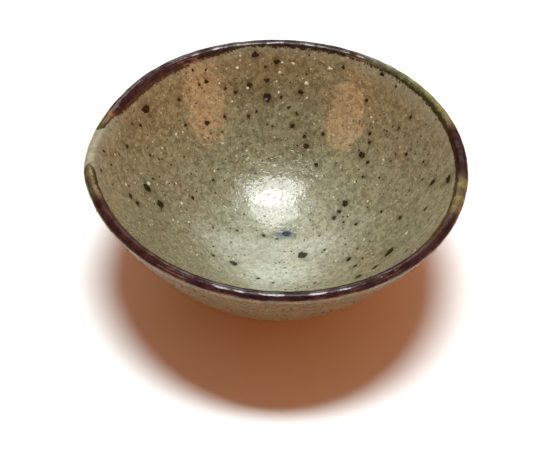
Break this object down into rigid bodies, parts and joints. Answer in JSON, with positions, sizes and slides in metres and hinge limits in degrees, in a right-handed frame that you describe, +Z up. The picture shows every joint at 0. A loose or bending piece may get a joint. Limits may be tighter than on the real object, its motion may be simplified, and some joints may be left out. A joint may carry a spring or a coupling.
{
  "type": "tea bowl",
  "caption": "Wide, shallow hand-thrown stoneware tea bowl on a low turned foot ring, with glaze coats and a coloured lip band.",
  "frame": {"origin": "on the table plane, under the middle of the bowl's outline", "axes": "+Z up out of the bowl; -Y towards the near side in the picture and +X to its right"},
  "size_m": [0.144, 0.1458, 0.0665],
  "materials": {
    "clay": "bare fired stoneware, matt and grainy",
    "ash_glaze": "glossy grey-green speckled glaze",
    "thin_glaze": "thin glossy glaze over brown clay",
    "iron_glaze": "glossy dark red-brown iron glaze",
    "amber_glaze": "glossy amber glaze",
    "olive_glaze": "glossy olive glaze"
  },
  "bodies": {
    "root": {"clay_body": "clay", "foot_ring": "clay", "inside_glaze": "ash_glaze", "outside_glaze": "thin_glaze", "lip_glaze_tan_right": "amber_glaze", "lip_glaze_brown_right": "iron_glaze", "lip_glaze_olive": "olive_glaze", "lip_glaze_brown_back": "iron_glaze", "lip_glaze_amber_left": "amber_glaze", "lip_glaze_pale_left": "ash_glaze", "lip_glaze_olive_left": "olive_glaze", "lip_glaze_brown_front": "iron_glaze"}
  },
  "joints": []
}
